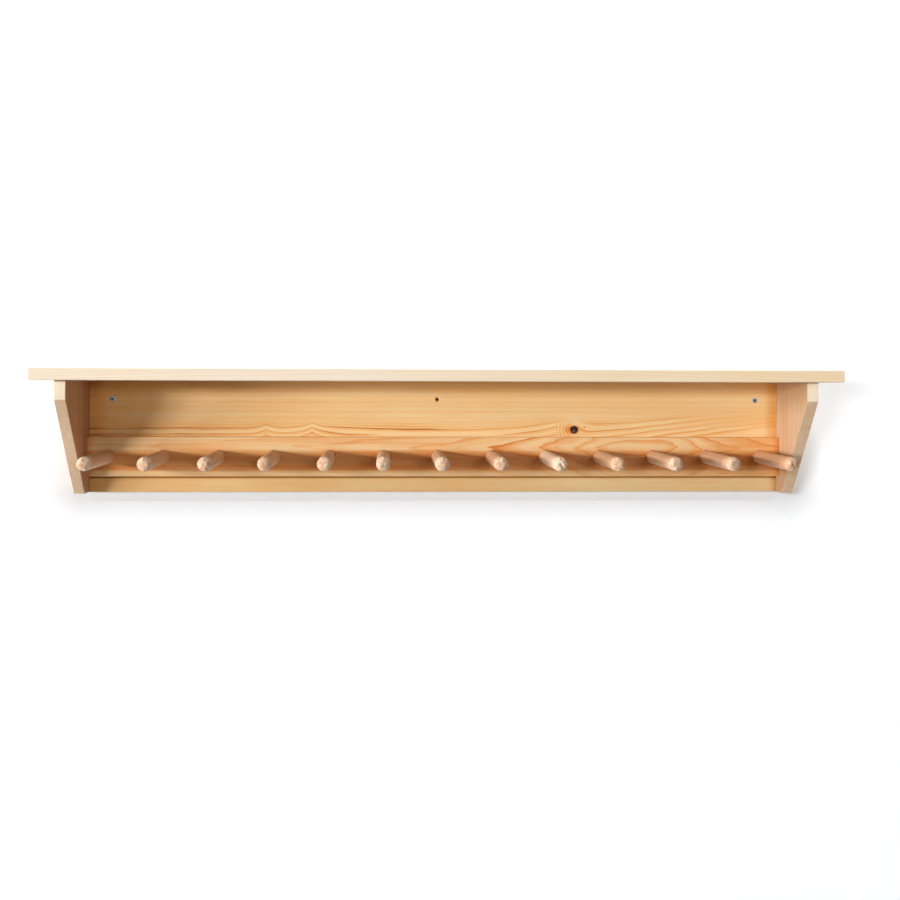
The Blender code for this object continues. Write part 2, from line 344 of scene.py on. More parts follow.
def round_knot(tree, along, across, knot):
    """The distance across the grain bent round a knot (along, across, radius), and the knot's stain."""
    sockets = placed_group(
        tree, knot_group, Along=along, Across=across,
        Knot_Along=knot[0], Knot_Across=knot[1], Knot_Radius=knot[2],
    )
    return Wire(tree, sockets["Across"]), Wire(tree, sockets["Stain"])


BACK_KNOT, BACK_DOT, DOT_RADIUS = (0.230, 0.0119, 0.0066), (0.2474, 0.0163), 0.0016
KNOT_RISE, SWELL_LEFT, SWELL_STEEP, STEEPER = 0.016, 0.015, 17.0, 16.0
BACK_PEAKS = ((-0.2844, 0.0085, 0.015), (-0.2085, 0.0130, 0.020))
ARCH_TOP, ARCH_HALF, ARCH_LINE = 0.0065, 0.004, 0.0009


def line_lift(x, z):
    """How far the growth lines are lifted, and the arches inside their peaks. The lines swell over the
    knot as one over one plus a square, more steeply on its right. Each peak (place, height, width) falls
    off on both sides as an exponential. The lift fades up the board. An arch is a thin line along a
    parabola."""
    from_swell = x - BACK_KNOT[0] + SWELL_LEFT
    steepness = SWELL_STEEP + x.rise(0.205, 0.225) * STEEPER
    lift = ((from_swell * steepness) ** 2.0 + 1.0) ** -1.0 * KNOT_RISE
    arches = x * 0.0
    for peak, height, width in BACK_PEAKS:
        from_peak = x - peak
        lift = lift + (from_peak.size() / -width).exponential() * height
        arch = (z + (from_peak / ARCH_HALF) ** 2.0 * ARCH_TOP - ARCH_TOP) / ARCH_LINE
        arches = arches + ((arch * arch) * -1.0).exponential()
    return lift * z.rise(0.055, 0.010), arches


BACK_LINES = (
    (0.0175, 0.10, 0.06), (0.0132, 0.14, 0.10), (0.0089, 0.18, 0.16), (0.0046, 0.22, 0.20),
    (0.0, 0.46, 0.50),
    (-0.0102, 0.38, 0.24), (-0.0195, 0.33, 0.16), (-0.0290, 0.31, 0.16), (-0.0385, 0.33, 0.18),
)
FLANK, CORE, BREAK = 0.0060, 0.0024, 0.0009


def strong_lines(tree, x, level):
    """The strong growth lines. Each has its level, the strength of the orange flank below it and that of
    its dark core, and breaks off sharply above. The flanks come and go along the board. The cores are
    darkest just left of the middle and right of the knot."""
    darker = (x.rise(-0.20, -0.15) * x.rise(0.03, -0.02) + x.rise(0.24, 0.27) * 0.8) * 0.65 + 0.35
    drawn = x * 0.0
    for height, flank, core in BACK_LINES:
        above = level - height
        fading = (speckle(tree, x * 5.0, height * 900.0, 7.0) * 2.6 + 1.0).most(0.1)
        line = above.rise(-FLANK, -0.0008) * fading * flank + above.rise(-CORE, -0.0003) * darker * core
        drawn = drawn + line * above.rise(BREAK, 0.0)
    return drawn


ARC_STEP, ARC_REACH, ARC_STRENGTH, OVER_KNOT, CALMED = 0.0052, 0.036, 0.50, 0.018, 0.75


def knot_arcs(x, z, ripple):
    """Rings round the left of the knot at even steps from its middle, and the share of the other lines
    that is kept: fewer where these rings are, and fewer in the calm wood just over the knot."""
    aside, higher = x - BACK_KNOT[0], z - BACK_KNOT[1]
    from_knot = (aside * aside + higher * higher * 1.3).root()
    beside = aside.rise(0.002, -0.008) * from_knot.rise(ARC_REACH, ARC_REACH * 0.6)
    beside = beside * higher.size().rise(0.016, 0.010)
    over = ((aside / OVER_KNOT) ** 2.0 * -1.0).exponential() * higher.rise(0.005, 0.010)
    arc = ((from_knot + ripple * 0.6) / ARC_STEP).fraction()
    arcs = beside * arc.rise(0.25, 0.80) * arc.rise(1.0, 0.90) * ARC_STRENGTH
    return arcs, (1.0 - beside * CALMED) * (1.0 - over * CALMED)


def painted_shade_and_strip(tree, x, z, front):
    """Painted shade added to the latewood of the board's front and to how thirsty it is: at both ends,
    next to the brackets, under the shelf, towards the left in the left bracket's shade, and most in the
    corner under the rail, where the rail's shadow falls. The strip below the rail is darker and blotchy,
    paler to the right, and has painted shade at its right end, next to the bracket."""
    below = z.rise(rail_low.z + 0.001, rail_low.z - 0.001) * front
    # Painted shadow in the corner under the rail.
    corner = below * z.rise(rail_low.z - 0.0058, rail_low.z - 0.0028)
    # Painted shade at both ends of the board's front, next to the brackets.
    ends = x.rise(-0.541, -0.567) + x.rise(0.550, 0.572)
    # The strip below the rail is blotchy and paler to the right, with painted shade at its right end.
    strip = speckle(tree, x * 11.0, z * 70.0, 5.0) * 0.30 + x.rise(0.562, 0.573) * 0.15 + 0.05
    strip = strip - x.rise(0.0, 0.3) * 0.09
    # Painted shade under the shelf and towards the left, where the left bracket shades the board.
    shaded = z.rise(0.064, 0.088) * 0.15 + x.rise(-0.36, -0.56) * 0.12
    late = ends * (front - below * 0.7) * 0.28 + corner * 0.5 + below * strip + front * shaded
    return late, below * (0.44 + x.rise(0.560, 0.573) * 0.8) + corner * 1.7


MAIN_LINE, LEFT_RISE, CLIMB_BEND = 0.0100, 0.0044, 0.0016
WEAK_RING, FAINT_RING, PLAIN_SHARE = 0.0034, 0.0085, 0.12


def back_grain(tree, x, y, z):
    """Growth lines seen from the front. Level is the height over the main line, which is lifted at two
    peaks and over the knot, lies lower in the middle and climbs towards the right end along a hyperbola.
    Weak rings and the strong lines follow it. A pale lens lies under it in the middle. The board's upper
    part has faint level lines, and the strip below the rail is plain."""
    depth = y - back_low.y
    front = depth.rise(0.002, 0.0005)
    wander = speckle(tree, x * 4.0, z * 12.0, depth, detail=3.0) * 0.005
    ripple = speckle(tree, x * 16.0, z * 60.0, depth) * 0.0034
    across, stain = round_knot(tree, x, z, BACK_KNOT)
    dot = ((x - BACK_DOT[0]) ** 2.0 + (z - BACK_DOT[1]) ** 2.0) / DOT_RADIUS ** 2
    stain = stain + (dot * -1.0).exponential() * 0.5
    lift, arches = line_lift(x, z)
    past = x - BACK_KNOT[0]
    climb = (past + (past * past + CLIMB_BEND).root()) * (z.rise(0.070, 0.0) * 0.025 + 0.050)
    level = across - lift - x.rise(0.06, -0.16) * LEFT_RISE - climb - MAIN_LINE
    level = level + wander + ripple + depth * 0.4
    near_knot = x.rise(0.08, 0.20) * x.rise(0.34, 0.26)
    figure = rings(tree, level, WEAK_RING, 14.0) * (0.16 + near_knot * 0.34)
    figure = figure + arches * z.rise(-0.004, 0.0) * 0.45 + strong_lines(tree, x, level)
    arcs, kept = knot_arcs(x, z, ripple)
    lens = x.rise(-0.125, -0.085) * x.rise(0.15, 0.08) * (level + 0.006).rise(0.0012, -0.0012)
    figure = (figure * kept + arcs) * (1.0 - lens * 0.85)
    patchy = speckle(tree, x * 7.0, z * 40.0, 4.0) + 1.0
    strength = (z.rise(0.044, 0.026) * 0.6 + z.rise(0.026, 0.012) * 0.4) * z.rise(-0.040, -0.008)
    strength = strength * (1.0 - x.rise(0.36, 0.48) * z.rise(0.008, 0.020) * 0.65)
    faint = rings(tree, z + wander * 0.6 + depth * 0.2, FAINT_RING, 23.0) * z.rise(0.020, 0.040) * 0.13
    shade_and_strip_late, shade_and_strip_thirst = painted_shade_and_strip(tree, x, z, front)
    late = PLAIN_SHARE + faint + strength * (figure * patchy - PLAIN_SHARE) + shade_and_strip_late
    return x, across, depth, late, stain, facing(tree, 0) + shade_and_strip_thirst


def dress(node, material):
    """Gives a CAD node a material in place of its plain one."""
    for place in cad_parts[node].material_slots:
        place.material = material


BACK_TONES = chart(233, 202, 150), chart(224, 164, 91), chart(172, 98, 46)
dress("back_board", wood_material("back_pine", back_grain, BACK_TONES, fibre=0.7))


# Peg rail: a narrower pine strip glued over the back board, with flame figure where the saw ran nearly
# along the rings. The pegs that pass through it pin it. The frame's own rail stays, with its peg holes.
FLAME_HEIGHT, FLAME_MIDDLE, FLAME_DEPTH, RAIL_RING = -0.0165, 0.3352, 0.0262, 0.0050
FLAME_BLUNT, FLAME_STEP, FLAME_SPREAD, FLAME_POINT, RAIL_SHARE = 0.058, 0.0031, 0.27, 0.0015, 0.2


def rail_grain(tree, x, y, z):
    """Rings cut nearly along their length. From the flame's middle the distance to the pith grows with
    the logarithm of the way along the rail, and evenly with the way up or down, so that each ring shows
    as a long pointed eye and the eyes' points lie further and further apart. Away from the flame the
    figure fades into soft streaks. The colour is deeper at both ends. At the height of the pegs it is
    deeper as painted shade, where their shadows fall, and lowest down it is paler as painted light."""
    depth = y - rail_low.y
    wander = speckle(tree, x * 3.0, z * 10.0, depth, detail=3.0) * 0.012
    ripple = speckle(tree, x * 12.0, z * 70.0, depth) * 0.0036
    ripple = ripple + speckle(tree, x * 45.0, z * 150.0, depth) * 0.0008
    along_flame = (x - FLAME_MIDDLE) / FLAME_BLUNT
    sunk = ((along_flame * along_flame) ** 2.0 + 1.0).through("LOGARITHM", math.e) * FLAME_STEP
    across = z - FLAME_HEIGHT + wander
    spread = (across * across + FLAME_POINT ** 2).root() * FLAME_SPREAD
    distance = sunk + spread + FLAME_DEPTH + depth + ripple
    patchy = speckle(tree, x * 6.0, z * 30.0, 8.0) * 0.8 + 1.0
    in_flame = x.rise(-0.06, 0.10) * x.rise(0.50, 0.43)
    upper = z.rise(-0.040, -0.026)
    strength = (0.25 + upper * 0.75) * patchy * (0.40 + in_flame * 0.60)
    bands = speckle(tree, x * 3.2, z * 130.0, 2.0) * (0.8 - in_flame * 0.5)
    figure = rings(tree, distance, RAIL_RING, 5.0, wander=0.4)
    figure = figure + rings(tree, distance, RAIL_RING * 0.45, 6.0) * 0.15
    late = RAIL_SHARE + strength * (figure - RAIL_SHARE) + bands
    # Painted shade: deeper colour at the height of the pegs, where their shadows fall.
    late = late + z.rise(-0.018, -0.030) * z.rise(-0.0575, -0.0525) * 0.55
    late = late + x.size().rise(0.562, 0.5735) * 0.4 + x.rise(0.40, 0.50) * 0.04
    # Painted light: the lowest band is paler, below the pegs' shadows.
    late = late - z.rise(-0.0525, -0.0565) * x.rise(0.56, 0.50) * 0.06
    return x, z, depth, late, x * 0.0, facing(tree, 0)


RAIL_TONES = chart(229, 193, 142), chart(222, 157, 92), chart(203, 119, 53)
dress("peg_rail", wood_material("rail_pine", rail_grain, RAIL_TONES, fibre=0.7))


# Pegs: thirteen turned hardwood rods pushed through the rail into the back board, cut off and trimmed by
# hand at the tip. No two are alike: each droops a little in its hole and has a tone and a tip of its own,
# and two tips have split.
PEG_NAMES = sorted(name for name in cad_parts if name.startswith("peg_") and name != "peg_rail")
PEG_TONES = (0.0, 0.05, 0.0, 0.08, 0.02, -0.04, -0.02, 0.04, -0.26, 0.04, -0.02, 0.02, 0.11)
PEG_SPLITS, SPLIT_HEADING = {9: 0.0028, 13: 0.0016}, -0.9
PEG_SIDES, SHAFT_STATIONS, TIP_STATIONS = 96, 40, 18
PEG_DROOP, PEG_PIVOT = 0.0088, 0.015
TRIMMED_LENGTH, SPLIT_LENGTH, SPLIT_OPENS, SPLIT_NARROWS, SPLIT_SINKS = 0.014, 0.018, 0.012, 0.3, 0.006


def grid_faces(rows, columns):
    """Quads of a grid of rows that closes on itself across its columns."""
    row, column = np.meshgrid(np.arange(rows - 1), np.arange(columns), indexing="ij")
    near, far = row * columns, (row + 1) * columns
    after = (column + 1) % columns
    return np.stack([near + column, near + after, far + after, far + column], axis=-1).reshape(-1, 4)


def fan_faces(ring, pole):
    """Triangles from a ring of points to one pole point."""
    return np.stack([ring, np.roll(ring, -1), np.full_like(ring, pole)], axis=-1)


def new_piece(name, points, faces, material):
    """A smooth mesh object at the origin from arrays of points and faces, riding on the rack's one
    body."""
    mesh = bpy.data.meshes.new(name)
    mesh.from_pydata(points.tolist(), [], [list(face) for face in faces])
    mesh.polygons.foreach_set("use_smooth", [True] * len(mesh.polygons))
    mesh.materials.append(material)
    mesh.update()
    piece = bpy.data.objects.new(name, mesh)
    bpy.context.scene.collection.objects.link(piece)
    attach(piece, "root")
    return piece


def keep(piece, title, values):
    """Keeps a number or a place for each point of a piece, for its material to read."""
    kind, field = ("FLOAT_VECTOR", "vector") if values.ndim == 2 else ("FLOAT", "value")
    layer = piece.data.attributes.new(title, kind, "POINT")
    layer.data.foreach_set(field, values.ravel())


def peg_surface(low, high, dice, split):
    """Circles along a rod from its seat, then a tip between a cone and a dome: with q from 0 to a right
    angle, its length grows as sin(q) to a power and its radius shrinks as cos(q) to that power, down to a
    flat end. The tip is slanted and trimmed to a rounded polygon, and where it has split, a groove of the
    given half width runs in from the end. The rod leans down about a point half way along its hole.
    Returns points, for the wood (side, out, rise) of each point before the rod leans, and the split's
    heading."""
    radius, reach = (high.x - low.x) / 2.0, high.y - low.y
    rounding, flat = dice.uniform(0.0050, 0.0085), dice.uniform(0.0038, 0.0062)
    power = dice.uniform(1.25, 1.65)
    quarter = np.linspace(0.0, np.pi / 2.0, TIP_STATIONS)[1:]
    tip_out = reach - rounding + rounding * np.sin(quarter) ** power
    tip_radii = flat + (radius - flat) * np.clip(np.cos(quarter), 0.0, 1.0) ** power
    flat_radii = flat * np.array([0.85, 0.7, 0.55, 0.4, 0.25, 0.1])
    shaft_out = (reach - rounding) * (1.0 - np.linspace(1.0, 0.0, SHAFT_STATIONS) ** 2)
    out = np.concatenate([shaft_out, tip_out, np.full(len(flat_radii), reach)])[:, None]
    radii = np.concatenate([np.full(SHAFT_STATIONS, radius), tip_radii, flat_radii])[:, None]
    turn = (np.arange(PEG_SIDES) / PEG_SIDES * 2.0 * np.pi)[None]
    near_tip = np.clip((out - (reach - TRIMMED_LENGTH)) / TRIMMED_LENGTH, 0.0, 1.0) ** 2
    uneven = 1.0 - 0.005 * (1.0 + np.sin(out * dice.uniform(30, 60) + turn * 2.0 + dice.uniform(0, 6)))
    flats = dice.integers(4, 8)
    around = np.mod(turn + dice.uniform(0, 6), 2.0 * np.pi / flats) - np.pi / flats
    trimmed = 1.0 + near_tip * 1.1 * (np.cos(np.pi / flats) / np.cos(around) - 1.0)
    across = radii * uneven * trimmed
    side, rise = across * np.cos(turn), across * np.sin(turn)
    slant = dice.normal(0.0, 0.14, 2)
    out = out - near_tip * (np.abs(slant).sum() * radius + slant[0] * side + slant[1] * rise)
    heading = dice.uniform(0.0, 2.0 * np.pi) if split == 0.0 else SPLIT_HEADING
    aside = rise * np.cos(heading) - side * np.sin(heading)
    one_side = np.clip((side * np.cos(heading) + rise * np.sin(heading)) / radius * 2.0 + 0.4, 0.0, 1.0)
    groove = np.clip(1.0 - np.abs(aside) / max(split, 1e-6), 0.0, 1.0) * one_side
    opened = groove * np.clip((out - (reach - SPLIT_LENGTH)) / SPLIT_OPENS, 0.0, 1.0)
    side, rise = side * (1.0 - SPLIT_NARROWS * opened), rise * (1.0 - SPLIT_NARROWS * opened)
    out = out - opened * near_tip * SPLIT_SINKS
    rod = np.stack([side, out, rise], axis=-1).reshape(-1, 3)
    rod = np.concatenate([rod, rod[-PEG_SIDES:].mean(axis=0)[None]])
    lean = np.array([dice.normal(0.0, 0.002), -dice.normal(PEG_DROOP, 0.001)]) * (rod[:, 1:2] - PEG_PIVOT)
    middle_x, middle_z = (low.x + high.x) / 2.0, (low.z + high.z) / 2.0
    across_x, across_z = middle_x + rod[:, 0] + lean[:, 0], middle_z + rod[:, 2] + lean[:, 1]
    return np.stack([across_x, high.y - rod[:, 1], across_z], axis=-1), rod, heading


PEG_APART, BEVEL_REACH, BEVEL_STEEP, PEG_SHARE, PEG_RING = 1.3, 0.012, 2.5, 0.32, 0.0030


def peg_grain(tree, x, y, z):
    """x runs from the pith through the rod's middle, y along the rod and z across both. The rings make
    faint streaks along the rod and arcs over its tip. The roughly trimmed tip shows fresh pale wood, with
    dark cracks along the line to the pith."""
    wander = speckle(tree, y * 9.0, x * 30.0, z * 30.0) * 0.003
    distance = (x * x + z * z).root() + wander
    end = facing(tree, 1)
    tone, bevel = (Wire(tree, attribute(tree, name, "Fac")) for name in ("tone", "bevel"))
    ragged = speckle(tree, x * 260.0, z * 260.0, y * 3.0)
    crack = speckle(tree, x * 90.0, z * 420.0, (y / PEG_APART + 0.3).whole() * 5.0)
    crack = (crack + ragged * 0.3).rise(0.14, 0.20) * end.rise(0.45, 0.8)
    rough = speckle(tree, x * 240.0, z * 400.0, y * 40.0) * bevel
    late = PEG_SHARE + tone + rings(tree, distance, PEG_RING, 9.0) * 0.36
    late = late - bevel * 0.32 + end * 0.20 + rough * 1.1
    return y, x, z, late, crack * 0.55, end * 0.3


PEG_WOOD_TONES = chart(238, 212, 184), chart(215, 167, 130), chart(178, 120, 84)
peg_material = wood_material("peg_wood", peg_grain, PEG_WOOD_TONES, fibre=0.6, own_place="wood")
for number, name in enumerate(PEG_NAMES):
    dice = np.random.default_rng(40 + number)
    points, rod, heading = peg_surface(*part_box(name), dice, PEG_SPLITS.get(number + 1, 0.0))
    rows = len(points) // PEG_SIDES
    ring = np.arange(PEG_SIDES)
    faces = grid_faces(rows, PEG_SIDES).tolist() + [ring[::-1].tolist()]
    faces += fan_faces(ring + (rows - 1) * PEG_SIDES, rows * PEG_SIDES).tolist()
    pith = dice.uniform(0.02, 0.06)
    from_pith = rod[:, 0] * np.cos(heading) + rod[:, 2] * np.sin(heading) + pith
    aside = rod[:, 2] * np.cos(heading) - rod[:, 0] * np.sin(heading)
    to_tip = (rod[:, 1] - rod[:, 1].max() + BEVEL_REACH) / BEVEL_REACH
    piece = new_piece("turned_" + name, points, faces, peg_material)
    keep(piece, "wood", np.stack([from_pith, rod[:, 1] + number * PEG_APART, aside], axis=-1))
    keep(piece, "bevel", np.clip(to_tip * BEVEL_STEEP, 0.0, 1.0))
    keep(piece, "tone", np.full(len(rod), PEG_TONES[number]))
    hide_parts(name)


# Brackets: two pine end pieces with the grain upright, a short upright nose and a slope back to a narrow
# foot. Each is dowelled to the back board's end and to the shelf. Every arris is sanded round by hand.
ARRIS, ARRIS_STEPS, CORNER_ROUND, OUTLINE_STEP = 0.0012, 5, 0.0018, 0.010


def eased_board(outline, low, high, dice):
    """A board of a convex outline, counter-clockwise in its own plane, between two levels. Its corners
    become small arcs, its outline is cut into short lengths, and that ring is carried from one face to
    the other. At each face the ring is drawn in along a quarter circle, whose radius wanders along the
    outline as hand sanding does.
    Returns rings of (first, second, level) and the share of each ring that is arris."""
    corners = np.asarray(outline)
    ahead = np.roll(corners, -1, axis=0) - corners
    length = np.linalg.norm(ahead, axis=1)
    outward = np.stack([ahead[:, 1], -ahead[:, 0]], axis=1) / length[:, None]
    before = np.roll(outward, 1, axis=0)
    centres = corners - CORNER_ROUND * (before + outward) / (1.0 + (before * outward).sum(axis=1))[:, None]
    start = np.arctan2(before[:, 1], before[:, 0])
    sweep = np.mod(np.arctan2(outward[:, 1], outward[:, 0]) - start, 2.0 * np.pi)
    angle = start[:, None] + sweep[:, None] * np.linspace(0.0, 1.0, ARRIS_STEPS)[None]
    normal = np.stack([np.cos(angle), np.sin(angle)], axis=-1)
    arcs = centres[:, None] + CORNER_ROUND * normal
    ring, facing_out = [], []
    for corner in range(len(corners)):
        begin, end = arcs[corner, -1], arcs[(corner + 1) % len(corners), 0]
        steps = max(3, int(np.linalg.norm(end - begin) / OUTLINE_STEP))
        cuts = np.linspace(0.0, 1.0, steps)[1:-1, None]
        ring += [arcs[corner], begin + (end - begin) * cuts]
        facing_out += [normal[corner], np.repeat(outward[corner][None], len(cuts), axis=0)]
    ring, facing_out = np.concatenate(ring), np.concatenate(facing_out)
    walk = np.arange(len(ring)) / len(ring) * 2.0 * np.pi
    cycles = (3, 7, 11, 19, 29)
    waves = sum(np.sin(walk * cycle + dice.uniform(0, 6)) * dice.uniform(0.3, 1.0) for cycle in cycles)
    ease = ARRIS * (1.0 + 0.13 * waves)
    quarter = np.linspace(0.0, np.pi / 2, ARRIS_STEPS)
    tilt = np.concatenate([-quarter[::-1], quarter])
    drawn_in = (1.0 - np.cos(tilt))[:, None, None] * ease[None, :, None] * facing_out[None]
    lift = (1.0 - np.abs(np.sin(tilt)))[:, None] * ease[None]
    level = np.where(tilt[:, None] < 0.0, low + lift, high - lift)
    level[ARRIS_STEPS - 1], level[ARRIS_STEPS] = low + ease, high - ease
    points = np.concatenate([ring[None] - drawn_in, level[:, :, None]], axis=-1)
    return points, np.abs(np.sin(2.0 * tilt))


def board_piece(name, points, worn, material):
    """A piece from a board's rings, with a flat face at each end and the arris share kept for the
    material."""
    rows, columns = points.shape[:2]
    faces = grid_faces(rows, columns).tolist()
    faces += [list(range(columns))[::-1], list(range((rows - 1) * columns, rows * columns))]
    piece = new_piece(name, points.reshape(-1, 3), faces, material)
    keep(piece, "arris", np.repeat(worn, columns))
    weighted = piece.modifiers.new("flat faces stay flat", "WEIGHTED_NORMAL")
    weighted.weight = 100
    return piece


BRACKET_PITH, BRACKET_RING, INNER_HALF = (-0.04, 0.70), 0.0044, (0.588, 0.579)


def bracket_grain_for(side):
    """The grain of the bracket on one side, -1 left or 1 right: rings about an upright pith outside the
    board. The wide faces are cut along the rings and are more amber than the edges. The end grain is
    darker and more amber, partly as end grain takes more oil and partly as painted shade on the downward
    facing slope. Of the inner faces, the left one is deeper, as painted shade on a face turned away from
    the lamps at the left, and the right one is duller, with painted shade towards its top, under the
    shelf, and towards its foot."""
    def grain(tree, x, y, z):
        wander = speckle(tree, z * 4.0, y * 8.0, side * 3.0) * 0.012
        away, depth = y - BRACKET_PITH[0] + wander, x * side - BRACKET_PITH[1]
        distance = (away * away + depth * depth).root()
        wide_face, cut = facing(tree, 0), facing(tree, 2)
        inner_face = wide_face * (x * side).rise(*INNER_HALF)
        # Painted shade on the right inner face: towards its top, under the shelf, and towards its foot.
        ends = z.rise(0.03, 0.09) + z.rise(-0.02, -0.08) * 0.7
        late = rings(tree, distance, BRACKET_RING, 11.0 + side) * (0.10 + wide_face * (0.17 - side * 0.09))
        # Painted shade deepens the left inner face. The end grain is darker, partly as end grain, partly as
        # painted shade on the slope.
        late = late + wide_face * 0.28 + inner_face * (1.0 - side) * 0.14 + cut * 0.40
        late = late + inner_face * (1.0 + side) * 0.5 * ends * 0.16
        # The right inner face is duller, and darker as painted shade at its top and foot.
        dull_and_shaded = inner_face * (1.0 + side) * 0.35 * (0.85 + ends * 0.7)
        return z, y, x, late, z * 0.0, cut * 0.38 + dull_and_shaded
    return grain


NOSE_HEIGHT, FOOT_DEPTH = 0.030, 0.050
BRACKET_TONES = chart(233, 216, 191), chart(207, 165, 125), chart(160, 104, 62)
for side, node in ((-1, "left_bracket"), (1, "right_bracket")):
    low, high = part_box(node)
    outline = [
        (high.y, low.z), (high.y, high.z), (low.y, high.z),
        (low.y, high.z - NOSE_HEIGHT), (high.y - FOOT_DEPTH, low.z),
    ]
    points, worn = eased_board(outline, low.x, high.x, np.random.default_rng(70 + side))
    material = wood_material("bracket_pine_" + node, bracket_grain_for(side), BRACKET_TONES, fibre=0.7)
    piece = board_piece("pine_" + node, points[:, :, [2, 0, 1]], worn, material)
    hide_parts(node)


# Dowels: plain beech pins with chamfered ends, glued into the joints between shelf, brackets and back
# board, and hidden when put together. The frame's own dowels stay.
def dowel_grain(tree, x, y, z):
    """Straight fine grain along the rack, as the pins at its ends lie, with no rings to speak of."""
    return x, y, z, x * 0.0, x * 0.0, facing(tree, 0)


DOWEL_TONES = chart(226, 188, 148), chart(212, 168, 126), chart(190, 140, 98)
dowel_material = wood_material("dowel_beech", dowel_grain, DOWEL_TONES, fibre=1.0)
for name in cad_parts:
    if "_dowel_" in name:
        dress(name, dowel_material)


# Shelf: the top board, a pale length of pine standing out past the brackets on three sides, dowelled
# down. Its front edge is the lightest wood on the rack.
SHELF_GAP = 0.0002
SHELF_PITH, SHELF_RING = (-0.115, -0.035), 0.0040


def shelf_grain(tree, x, y, z):
    """Rings about a pith below the board, which dives along a hyperbola towards both ends, so that the
    top shows long flames and the front edge a few straight lines. The board is more yellow towards its
    right end."""
    wander = speckle(tree, x * 1.5, y * 6.0, z) * 0.014
    away = y - SHELF_PITH[0] + wander
    dive = z - SHELF_PITH[1] + (x * x + 0.02).root() * 0.03
    distance = (away * away + dive * dive).root()
    late = rings(tree, distance, SHELF_RING, 21.0) * 0.22 + x.rise(-0.30, 0.70) * 0.24
    return x, y, z, late, x * 0.0, facing(tree, 0)


SHELF_TONES = chart(234, 218, 197), chart(229, 198, 151), chart(206, 158, 104)
shelf_material = wood_material("shelf_pine", shelf_grain, SHELF_TONES, fibre=0.5)
shelf_low, shelf_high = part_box("shelf_board")
outline = [
    (shelf_low.x, shelf_low.y), (shelf_high.x, shelf_low.y),
    (shelf_high.x, shelf_high.y), (shelf_low.x, shelf_high.y),
]
points, worn = eased_board(outline, shelf_low.z - SHELF_GAP, shelf_high.z, np.random.default_rng(80))
shelf = board_piece("pine_shelf_board", points, worn, shelf_material)
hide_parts("shelf_board")


# Wall screws: two zinc plated countersunk screws with a cross recess, driven through the back board into
# the wall. The head is pressed and the thread rolled, so the thread is a ridge wound round a thinner core
# that runs to a point.
SCREW_SIDES, FACE_RINGS, CONE_RINGS = 64, 44, 8
HEAD_CROWN, HEAD_LAND = 0.00012, 0.0003
RECESS_DEPTH, RECESS_REACH, RECESS_HALF, RECESS_WALL = 0.0018, 0.0023, 0.00062, 0.00016
THREAD_PITCH, THREAD_ROWS, RIDGE_HALF, CORE_SHARE = 0.0022, 10, 0.28, 0.68
PLAIN_SHANK, THREAD_RUNS_IN, POINT_LENGTH = 0.006, 0.004, 0.007
ZINC_DARK, ZINC_PALE, RECESS_DARK = chart(92, 102, 117), chart(150, 156, 162), chart(38, 36, 38)


def recess(along, across):
    """One slot of the cross: deepest in the middle, sloping up to its two ends, with steep side walls."""
    slope = np.clip(1.25 - np.abs(along) / RECESS_REACH, 0.0, 1.0)
    return slope * np.clip((RECESS_HALF - np.abs(across)) / RECESS_WALL + 0.5, 0.0, 1.0)


def screw_surface(low, high, turned_by):
    """Circles along a screw's axis. The head's face is a shallow crown with two crossed slots pressed
    into it. Behind its rim the radius falls as a right-angled cone to the shank. The thread's radius is
    the core plus a triangle wave of depth less turn, so that its ridge winds round; both shrink together
    over the point."""
    rim, length, shank = (high.x - low.x) / 2.0, high.y - low.y, (high.x - low.x) / 4.0
    turn = (np.arange(SCREW_SIDES) / SCREW_SIDES * 2.0 * np.pi)[None]
    face_radii = rim * np.linspace(0.02, 1.0, FACE_RINGS)[:, None] * np.ones_like(turn)
    along = face_radii * np.cos(turn + turned_by)
    across = face_radii * np.sin(turn + turned_by)
    pressed = np.maximum(recess(along, across), recess(across, along)) * RECESS_DEPTH
    face_depth = HEAD_CROWN * (face_radii / rim) ** 2 + pressed
    cone_depth = np.linspace(HEAD_LAND, HEAD_LAND + rim - shank, CONE_RINGS)[:, None] * np.ones_like(turn)
    cone_radii = rim - (cone_depth - HEAD_LAND)
    start = cone_depth.max()
    body_depth = np.linspace(start, length, int((length - start) / THREAD_PITCH * THREAD_ROWS))[1:, None]
    phase = np.mod(body_depth / THREAD_PITCH - turn / (2.0 * np.pi), 1.0)
    ridge = np.clip(1.0 - np.abs(phase - 0.5) / RIDGE_HALF, 0.0, 1.0)
    begun = np.clip((body_depth - start - PLAIN_SHANK) / THREAD_RUNS_IN, 0.0, 1.0)
    core = 1.0 - (1.0 - CORE_SHARE) * begun
    point = np.clip((length - body_depth) / POINT_LENGTH, 0.0, 1.0) ** 0.8
    body_radii = shank * (core + (1.0 - core) * ridge) * point
    radii = np.concatenate([face_radii, cone_radii, body_radii])
    depth = np.concatenate([face_depth, cone_depth, np.repeat(body_depth, SCREW_SIDES, axis=1)])
    middle_x, middle_z = (low.x + high.x) / 2.0, (low.z + high.z) / 2.0
    across_x, across_z = middle_x + radii * np.cos(turn), middle_z - radii * np.sin(turn)
    points = np.stack([across_x, low.y + depth, across_z], axis=-1)
    poles = np.array([[middle_x, low.y + RECESS_DEPTH, middle_z], [middle_x, high.y, middle_z]])
    return np.concatenate([points[:-1].reshape(-1, 3), poles])


